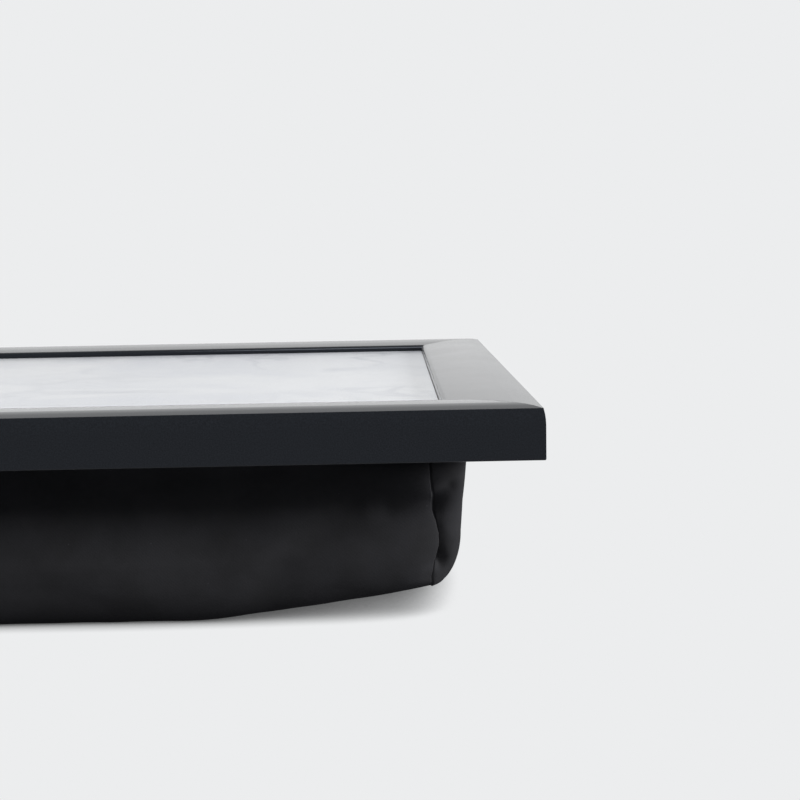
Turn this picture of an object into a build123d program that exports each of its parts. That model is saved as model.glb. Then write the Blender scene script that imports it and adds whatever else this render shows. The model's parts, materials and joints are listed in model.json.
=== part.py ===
"""Lap tray with a bead cushion, in millimetres.

A mitred picture-frame moulding holds a marble-printed board. The bead cushion seats in the
recess under the board, bulges out below the rails, and comes off its hook-and-loop strips.
Origin: on the floor under the centre. +X is right, the front faces -Y, +Z is up.
"""
import os
from math import acos, cos, radians, sin

from build123d import *

# Tray as a whole
tray_length = 440.0
tray_depth = 340.0

# Rail moulding, seen from its end: outer face, crowned top, lip over the board
rail_width = 35.0
rail_edge_height = 18.4
rail_crown_height = 19.6
rail_crown_inset = 10.0
rail_inner_height = 18.0
outer_lean = 0.8
outer_lean_height = 6.0
arris_radius = 0.6
lip_radius = 2.0
lip_depth = 6.0

# Board with its printed surface
surface_recess = 3.0
laminate_thickness = 0.8
board_thickness = 4.0
board_clearance = 0.5
laminate_clearance = 0.2

# V-nails that draw each mitre together, pressed in from below
v_nail_leg = 7.0
v_nail_thickness = 0.6
v_nail_height = 8.0
v_nail_first_inset = 8.0
v_nail_spacing = 11.0
v_nails_per_mitre = 2

# Steel tabs that hold the board up in its rebate
tab_reach = 9.0
tab_bite = 5.0
tab_width = 7.0
tab_thickness = 0.4
tab_end_inset = 70.0
tabs_long_side = 4
tabs_short_side = 3

# Hook tape under the board, loop tape on the cushion
strip_width = 20.0
long_strip_length = 300.0
short_strip_length = 180.0
strip_inset = 12.0
hook_thickness = 1.2
loop_thickness = 1.2
strip_gap = 0.3

# Cushion: outline below the rails
cushion_drop = 65.0
side_inset = 24.0
foot_inset = 41.0
roll_height = 24.0
shoulder_height = 8.0
corner_draw = 14.0
corner_run = 62.0
foot_draw = 29.0
foot_run = 70.0
floor_cut = 0.5

# Cushion: neck in the recess, layers of cloth and beads
neck_gap = 1.5
neck_draw = 8.0
rail_gap = 0.3
cover_thickness = 0.8
bag_thickness = 0.5
soft_gap = 0.3
cut_over = 2.0

# Zip across the back of the cover
zip_length = 220.0
zip_height = 37.0
tape_width = 6.0
tape_thickness = 0.6
coil_width = 4.0
coil_height = 1.5
stop_length = 3.0
stop_rim = 0.6

# Zip slider and its pull
slider_length = 9.0
slider_wall = 1.6
slider_roof = 1.2
slider_nose = 2.0
slider_gap = 0.2
bail_length = 6.0
bail_width = 1.6
bail_thickness = 1.0
pull_bar_radius = 0.6
pull_gap = 0.3
pull_length = 20.0
pull_width = 6.0
pull_corner = 1.2
pull_eye_radius = 1.0

# Shares of each curve of the cushion's side that its rings stand at
roll_ring_shares = (0.0, 0.25, 0.5, 0.75, 1.0)
shoulder_ring_shares = (0.0, 1 / 3, 2 / 3, 1.0)

# Places worked out from the sizes above
half_length = tray_length / 2
half_depth = tray_depth / 2
rail_base = cushion_drop
surface_height = rail_base + rail_inner_height - surface_recess
board_top = surface_height - laminate_thickness
board_base = board_top - board_thickness
rebate_inset = rail_width - lip_depth
neck_inset = rebate_inset + neck_gap
panel_top = board_base - hook_thickness - strip_gap - loop_thickness
neck_top = panel_top - cover_thickness
back_face = half_depth - side_inset
slit_half = zip_length / 2 + stop_length


def rail_profile():
    """Section of the moulding: across from the outer face, up from the underside."""
    lean_start = rail_edge_height - outer_lean_height
    rebate_height = board_top - rail_base
    foot = (arris_radius, 0)
    heel = (0, arris_radius)
    face_top = (0, lean_start)
    edge = (outer_lean, rail_edge_height)
    crown = (rail_crown_inset, rail_crown_height)
    lip = (rail_width, rail_inner_height)
    curve = RadiusArc(foot, heel, arris_radius)
    curve += Line(heel, face_top)
    curve += TangentArc(face_top, edge, tangent=(0, 1))
    curve += TangentArc(crown, edge, tangent=(-1, 0))
    curve += TangentArc(crown, lip, tangent=(1, 0))
    lip_under = (rail_width, rebate_height)
    rebate_top = (rebate_inset, rebate_height)
    rebate_foot = (rebate_inset, 0)
    curve += Polyline(lip, lip_under, rebate_top, rebate_foot, foot)
    section = make_face(curve)
    return fillet(section.vertices().sort_by_distance(lip)[0], lip_radius)


def rail(length):
    """A rail along X with its outer face at Y = 0 and its mitres cut at 45 degrees."""
    profile = Plane(origin=(-length / 2, 0, 0), x_dir=(0, 1, 0), z_dir=(1, 0, 0)) * rail_profile()
    bar = extrude(profile, length)
    half = length / 2
    inner = half - rail_width
    plan = make_face(Polyline((-half, 0), (half, 0), (inner, rail_width), (-inner, rail_width), (-half, 0)))
    return bar & extrude(plan, rail_crown_height)


def v_nail():
    """A V of thin steel, its point at the origin, one leg along -X and one along +Y."""
    leg_x = Pos(-v_nail_leg / 2, v_nail_thickness / 2, v_nail_height / 2)
    leg_y = Pos(-v_nail_thickness / 2, v_nail_leg / 2, v_nail_height / 2)
    long_x = Box(v_nail_leg, v_nail_thickness, v_nail_height)
    long_y = Box(v_nail_thickness, v_nail_leg, v_nail_height)
    return leg_x * long_x + leg_y * long_y


def corner_v_nails():
    """The V-nails of all four mitres, flush with the rails' underside."""
    nails = []
    for step in range(v_nails_per_mitre):
        inset = v_nail_first_inset + step * v_nail_spacing
        front_right = Pos(half_length - inset, inset - half_depth, rail_base) * v_nail()
        back_right = mirror(front_right, Plane.XZ)
        nails += [front_right, back_right, mirror(front_right, Plane.YZ), mirror(back_right, Plane.YZ)]
    return nails


def board_tabs():
    """Thin steel tabs driven into the rebate walls, flat against the board's underside."""
    tabs = []
    length = tab_reach + tab_bite
    height = board_base - tab_thickness / 2
    span_x = tray_length - 2 * tab_end_inset
    span_y = tray_depth - 2 * tab_end_inset
    middle = rebate_inset + tab_reach - length / 2
    for step in range(tabs_long_side):
        x = -span_x / 2 + step * span_x / (tabs_long_side - 1)
        y = half_depth - middle
        tabs += [Pos(x, side * y, height) * Box(tab_width, length, tab_thickness) for side in (-1, 1)]
    for step in range(tabs_short_side):
        y = -span_y / 2 + step * span_y / (tabs_short_side - 1)
        x = half_length - middle
        tabs += [Pos(side * x, y, height) * Box(length, tab_width, tab_thickness) for side in (-1, 1)]
    return tabs


def frame_rails(nails, tabs):
    """The four rails, with slots where the nails and tabs are pressed in."""
    cutters = nails + tabs
    front = Pos(0, -half_depth, rail_base) * rail(tray_length)
    back = Pos(0, half_depth, rail_base) * Rot(0, 0, 180) * rail(tray_length)
    left = Pos(-half_length, 0, rail_base) * Rot(0, 0, -90) * rail(tray_depth)
    right = Pos(half_length, 0, rail_base) * Rot(0, 0, 90) * rail(tray_depth)
    rails = {"front": front, "back": back, "left": left, "right": right}
    return {"frame_rail_" + side: body - cutters for side, body in rails.items()}


def slab(length, depth, thickness, base):
    """A flat rectangular layer centred on the tray, its underside at base."""
    return Pos(0, 0, base + thickness / 2) * Box(length, depth, thickness)


def tray_board():
    """The board, lying under the rails' lips with a little room at its edges."""
    room = 2 * (rebate_inset + board_clearance)
    return slab(tray_length - room, tray_depth - room, board_thickness, board_base)


def marble_laminate():
    """The printed laminate, cut to the sight opening and bonded on the board."""
    room = 2 * (rail_width + laminate_clearance)
    return slab(tray_length - room, tray_depth - room, laminate_thickness, board_top)


def fastening_strips(name, thickness, base):
    """Four lengths of tape round the board's edge, one to a side."""
    inset = rebate_inset + strip_inset + strip_width / 2
    height = base + thickness / 2
    along_x = Box(long_strip_length, strip_width, thickness)
    along_y = Box(strip_width, short_strip_length, thickness)
    return {
        name + "_front": Pos(0, inset - half_depth, height) * along_x,
        name + "_back": Pos(0, half_depth - inset, height) * along_x,
        name + "_left": Pos(inset - half_length, 0, height) * along_y,
        name + "_right": Pos(half_length - inset, 0, height) * along_y,
    }


def cushion_ring(inset, draw, run, height):
    """Closed outline of the cushion at one height.

    Each side is straight in its middle and curves in over its last run towards the corner
    seam, which lies draw further in than the side.
    """
    side_x = half_length - inset
    side_y = half_depth - inset
    seam_x = side_x - draw
    seam_y = side_y - draw
    start_x = seam_x - run
    start_y = seam_y - run
    ring = Curve()
    for turn, (across, along, out, corner) in enumerate(
        [(start_x, seam_x, side_y, seam_y), (start_y, seam_y, side_x, seam_x)] * 2
    ):
        spin = Rot(0, 0, 90 * turn)
        ring += spin * TangentArc((-across, -out), (-along, -corner), tangent=(-1, 0))
        ring += spin * Line((-across, -out), (across, -out))
        ring += spin * TangentArc((across, -out), (along, -corner), tangent=(1, 0))
    return Pos(0, 0, height) * Wire(ring.edges())


def cushion_rings(layer):
    """Rings from the floor to the neck, for a surface that lies layer deep inside the cover."""
    rings = []
    drop = roll_height + floor_cut
    first_angle = acos(1 - floor_cut / drop)
    for share in roll_ring_shares:
        angle = first_angle + share * (radians(90) - first_angle)
        height = drop * (1 - cos(angle)) - floor_cut
        closing = 1 - sin(angle)
        inset = side_inset + (foot_inset - side_inset) * closing
        draw = corner_draw + (foot_draw - corner_draw) * closing
        run = corner_run + (foot_run - corner_run) * closing
        rings.append((inset + layer, draw, run, height + layer * cos(angle)))
    shoulder_base = cushion_drop - rail_gap - shoulder_height
    for share in shoulder_ring_shares:
        angle = share * radians(90)
        closing = 1 - cos(angle)
        height = shoulder_base + shoulder_height * sin(angle)
        inset = side_inset + (neck_inset - side_inset) * closing
        draw = corner_draw + (neck_draw - corner_draw) * closing
        rings.append((inset + layer, draw, corner_run, height - layer * sin(angle)))
    return rings


def cushion_form(layer, top):
    """Closed form of the cushion, layer deep inside the cover, up to the height top."""
    outlines = [cushion_ring(*ring) for ring in cushion_rings(layer)]
    outlines.append(cushion_ring(neck_inset + layer, neck_draw, corner_run, top))
    return Solid.make_loft(outlines, ruled=True)


def zip_slit():
    """The opening in the back of the cover that the zip fills."""
    depth = cover_thickness + cut_over
    return Pos(0, back_face, zip_height) * Box(2 * slit_half, depth, 2 * tape_width)


def cushion_cover():
    """Sewn sides and base of the cover, open at the neck."""
    shell = cushion_form(0, neck_top) - cushion_form(cover_thickness, neck_top + cut_over)
    return shell - zip_slit()


def cushion_top_panel():
    """Flat panel that closes the neck and carries the loop tape."""
    return extrude(make_face(cushion_ring(neck_inset, neck_draw, corner_run, neck_top)), cover_thickness)


def bead_bag():
    """Closed liner that keeps the beads together when the zip is open."""
    outer = cover_thickness + soft_gap
    top = neck_top - soft_gap
    return cushion_form(outer, top) - cushion_form(outer + bag_thickness, top - bag_thickness)


def bead_fill():
    """The beads, as the one body that they fill out."""
    layer = cover_thickness + soft_gap + bag_thickness + soft_gap
    return cushion_form(layer, neck_top - soft_gap - bag_thickness - soft_gap)


def zip_tape(side):
    """Half of the zip's tape, above (1) or below (-1) the line where the halves meet."""
    y = back_face - cover_thickness + tape_thickness / 2
    return Pos(0, y, zip_height + side * tape_width / 2) * Box(2 * slit_half, tape_thickness, tape_width)


def coil_face():
    """Outer face of the tape, which the coil stands on."""
    return back_face - cover_thickness + tape_thickness


def zip_coil():
    """Closed coil: two round-topped rows, one sewn to each half of the tape."""
    row_width = coil_width / 2
    shoulder = coil_height - row_width / 2
    round_top = ThreePointArc((0, shoulder), (row_width / 2, coil_height), (row_width, shoulder))
    section = make_face(round_top + Polyline((row_width, shoulder), (row_width, 0), (0, 0), (0, shoulder)))
    origin = (-zip_length / 2, coil_face(), zip_height)
    plane = Plane(origin=origin, x_dir=(0, 0, -1), z_dir=(1, 0, 0))
    lower = extrude(plane * section, zip_length)
    upper = Pos(0, 0, row_width) * lower
    return [lower, upper]


def zip_stops():
    """A small metal stop at each end of the coil."""
    x = zip_length / 2 + stop_length / 2
    height = coil_height + stop_rim
    stop = Box(stop_length, height, coil_width + 2 * stop_rim)
    return [Pos(side * x, coil_face() + height / 2, zip_height) * stop for side in (-1, 1)]


def slider_place():
    """Where the slider's middle stands with the zip closed."""
    return zip_length / 2 - slider_length / 2 - slider_gap


def pull_axis_height():
    """Height of the pull's bar over the tape, which the pull turns on."""
    return slider_gap + coil_height + slider_roof + pull_gap + pull_bar_radius


def slider_bail(roof_top):
    """Arch along the zip on the slider's roof, which the pull's bar passes under."""
    tunnel_height = 2 * (pull_bar_radius + pull_gap)
    height = tunnel_height + bail_thickness
    arch = Pos(0, 0, roof_top + height / 2) * Box(bail_length, bail_width, height)
    arch = fillet(arch.edges().filter_by(Axis.Y).group_by(Axis.Z)[-1], bail_thickness)
    tunnel = Pos(0, 0, roof_top + tunnel_height / 2) * Box(tunnel_height, 2 * bail_width, tunnel_height)
    return arch - tunnel


def zip_slider():
    """Slider: a roof and two flanges over the coil, a tapered nose, and a bail for the pull."""
    channel_width = coil_width + 2 * slider_gap
    channel_height = coil_height + slider_gap
    roof_top = channel_height + slider_roof
    side = channel_width / 2 + slider_wall
    nose = side - slider_nose
    half = slider_length / 2
    outline = [(-half, -side), (half - slider_nose, -side), (half, -nose), (half, nose)]
    outline += [(half - slider_nose, side), (-half, side), (-half, -side)]
    body = Pos(0, 0, slider_gap) * extrude(make_face(Polyline(*outline)), roof_top - slider_gap)
    body -= Pos(0, 0, channel_height / 2) * Box(2 * slider_length, channel_width, channel_height)
    body += slider_bail(roof_top)
    return Pos(slider_place(), coil_face(), zip_height) * Rot(-90, 0, 0) * body


def zip_pull():
    """Pull tab lying along the closed zip, with its bar under the bail and a slot round it."""
    thickness = 2 * pull_bar_radius
    slot_length = bail_length / 2 + 2 * pull_gap
    slot_width = bail_width + 2 * pull_gap
    tab = Pos(-pull_length / 2, 0, 0) * Box(pull_length, pull_width, thickness)
    tab = fillet(tab.edges().filter_by(Axis.Z).group_by(Axis.X)[0], pull_corner)
    tab -= Pos(-slot_length / 2, 0, 0) * Box(slot_length, slot_width, 2 * thickness)
    tab += Rot(90, 0, 0) * Cylinder(pull_bar_radius, pull_width)
    tab -= Pos(pull_width / 2 - pull_length, 0, 0) * Cylinder(pull_eye_radius, 2 * thickness)
    return Pos(slider_place(), coil_face() + pull_axis_height(), zip_height) * Rot(-90, 0, 0) * tab


def lap_tray():
    """Every node of the tray, by name."""
    nails = corner_v_nails()
    tabs = board_tabs()
    nodes = frame_rails(nails, tabs)
    nodes["corner_v_nails"] = nails
    nodes["board_tabs"] = tabs
    nodes["marble_laminate"] = marble_laminate()
    nodes["tray_board"] = tray_board()
    nodes.update(fastening_strips("hook_strip", hook_thickness, board_base - hook_thickness))
    nodes.update(fastening_strips("loop_strip", loop_thickness, panel_top))
    nodes["cushion_cover"] = cushion_cover()
    nodes["cushion_top_panel"] = cushion_top_panel()
    nodes["bead_bag"] = bead_bag()
    nodes["bead_fill"] = bead_fill()
    nodes["zip_tape_upper"] = zip_tape(1)
    nodes["zip_tape_lower"] = zip_tape(-1)
    nodes["zip_coil"] = zip_coil()
    nodes["zip_stops"] = zip_stops()
    nodes["zip_slider"] = zip_slider()
    nodes["zip_pull"] = zip_pull()
    return nodes


os.makedirs("parts", exist_ok=True)
for node, shape in lap_tray().items():
    solid = Compound(children=shape) if isinstance(shape, list) else shape
    export_step(solid, f"parts/{node}.step")
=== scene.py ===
import json
import math

import bpy
import numpy as np
from mathutils import Matrix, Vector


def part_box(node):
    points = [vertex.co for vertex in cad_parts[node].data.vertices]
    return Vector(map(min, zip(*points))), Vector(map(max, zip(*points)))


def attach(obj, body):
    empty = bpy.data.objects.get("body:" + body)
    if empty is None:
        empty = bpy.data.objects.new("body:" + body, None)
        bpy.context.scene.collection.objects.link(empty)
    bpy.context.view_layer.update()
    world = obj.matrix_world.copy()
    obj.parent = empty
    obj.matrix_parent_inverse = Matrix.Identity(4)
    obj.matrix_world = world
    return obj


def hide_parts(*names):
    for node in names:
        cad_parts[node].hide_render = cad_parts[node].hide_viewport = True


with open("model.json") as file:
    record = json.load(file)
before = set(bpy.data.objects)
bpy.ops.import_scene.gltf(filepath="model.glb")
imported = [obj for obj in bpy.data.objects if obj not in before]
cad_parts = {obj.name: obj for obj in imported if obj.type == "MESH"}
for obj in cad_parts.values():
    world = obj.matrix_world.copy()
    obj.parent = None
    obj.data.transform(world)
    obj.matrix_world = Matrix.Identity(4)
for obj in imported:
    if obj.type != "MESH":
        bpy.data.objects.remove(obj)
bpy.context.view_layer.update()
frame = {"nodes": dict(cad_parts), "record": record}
nodes = frame["nodes"]
mm = 0.001
print("frame loaded:", len(nodes), "nodes")


# Small helpers for meshes

def boxOf(node):
    # Lowest and highest corner of a CAD node, in millimetres.
    low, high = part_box(node)
    return np.array(low) / mm, np.array(high) / mm


def gridFaces(rows, columns, first, flip):
    # Quads between neighbouring points of a grid that is stored row by row.
    index = first + np.arange(rows * columns).reshape(rows, columns)
    quads = np.stack([index[:-1, :-1], index[:-1, 1:], index[1:, 1:], index[1:, :-1]], -1).reshape(-1, 4)
    return quads[:, ::-1] if flip else quads


def joinMap(grids, tolerance=0.004):
    # For each point of all grids, the number of the place that it shares with the points that touch it.
    points = np.concatenate([g.reshape(-1, 3) for g in grids])
    # The odd shift keeps round measures off the edges of the cells.
    cells = np.floor(points / tolerance + 0.381).astype(np.int64)
    return np.unique(cells, axis=0, return_inverse=True)[1].ravel()


def joinGrids(grids, flips=None, places=None):
    # Points and quads of several grids as one surface. Points with the same place become their average.
    flips = flips or [False] * len(grids)
    points = np.concatenate([g.reshape(-1, 3) for g in grids])
    places = joinMap(grids) if places is None else places
    share = np.bincount(places)
    joined = np.stack([np.bincount(places, points[:, k]) / share for k in range(3)], 1)
    faces = []
    first = 0
    for grid, flip in zip(grids, flips):
        rows, columns = grid.shape[:2]
        faces.append(gridFaces(rows, columns, first, flip))
        first += rows * columns
    corners = np.concatenate(faces)
    return joined, places[corners], corners


def makePiece(name, points, quads, cornerUvs=None):
    # A smooth shaded object from points in millimetres.
    mesh = bpy.data.meshes.new(name)
    mesh.from_pydata((points * mm).tolist(), [], quads.tolist())
    if cornerUvs is not None:
        mesh.uv_layers.new(name="UVMap").uv.foreach_set("vector", cornerUvs.ravel())
    mesh.polygons.foreach_set("use_smooth", np.ones(len(quads), bool))
    piece = bpy.data.objects.new(name, mesh)
    bpy.context.scene.collection.objects.link(piece)
    return piece


def tubeGrids(rings):
    # A closed tube from a stack of closed rings, each with an even count of points: the wall, and a strip
    # that closes each end.
    half = rings.shape[1] // 2
    wall = np.concatenate([rings, rings[:, :1]], 1)
    ends = [np.stack([ring[:half], ring[:half - 1:-1]]) for ring in (rings[0], rings[-1])]
    return [wall, *ends], [False, False, True]


def repeated(points, quads, shifts):
    # Copies of one small surface, moved by each shift.
    many = (points[None] + shifts[:, None]).reshape(-1, 3)
    faces = (quads[None] + len(points) * np.arange(len(shifts))[:, None, None]).reshape(-1, 4)
    return many, faces


def normalsOf(grid):
    # Unit normals of a grid: the cross product of its two slopes.
    across = np.gradient(grid, axis=1)
    up = np.gradient(grid, axis=0)
    normal = np.cross(across, up)
    return normal / np.maximum(np.linalg.norm(normal, axis=2, keepdims=True), 1e-9)


def waves(points, length, seed, count=7):
    # Smooth irregular waves, roughly from -1 to 1: a sum of sines of about one wavelength in random
    # directions.
    random = np.random.default_rng(seed)
    directions = random.normal(size=(count, 3))
    directions /= np.linalg.norm(directions, axis=1, keepdims=True)
    lengths = length * random.uniform(0.7, 1.5, count)
    phases = random.uniform(0, 2 * math.pi, count)
    turns = points @ (directions / lengths[:, None]).T * 2 * math.pi + phases
    return np.sin(turns).sum(-1) / math.sqrt(count)


def finishPiece(piece, body, slotName, material, *replaced):
    piece.data.materials.append(material)
    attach(piece, body)
    if replaced:
        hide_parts(*replaced)


# Materials

def toLinear(hexColour):
    # sRGB hex to linear red, green, blue and full alpha.
    parts = [int(hexColour[i:i + 2], 16) / 255 for i in (1, 3, 5)]
    return [p / 12.92 if p <= 0.04045 else ((p + 0.055) / 1.055) ** 2.4 for p in parts] + [1.0]


def findSocket(sockets, name=None):
    # The first socket that the node's settings leave in use, or the first of those with this name.
    return next(s for s in sockets if s.enabled and name in (None, s.name))


def fill(node, inputs):
    # Gives a node's sockets, by name or by number, a value or a link from another node.
    for name, value in inputs.items():
        socket = node.inputs[name] if isinstance(name, int) else findSocket(node.inputs, name)
        if isinstance(value, bpy.types.NodeSocket):
            node.id_data.links.new(value, socket)
        else:
            socket.default_value = value


def addNode(material, kind, inputs=None, output=None, **settings):
    # Adds a node with its settings, values and links, and returns its first output or the one that is named.
    node = material.node_tree.nodes.new("ShaderNode" + kind)
    for name, value in settings.items():
        setattr(node, name, value)
    fill(node, inputs or {})
    return findSocket(node.outputs, output)


def startMaterial(name, values):
    # A material with a Principled shader whose fixed values stand on its own sockets.
    material = bpy.data.materials.new(name)
    material.use_nodes = True
    shader = material.node_tree.nodes["Principled BSDF"]
    fill(shader, values)
    return material, shader


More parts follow.
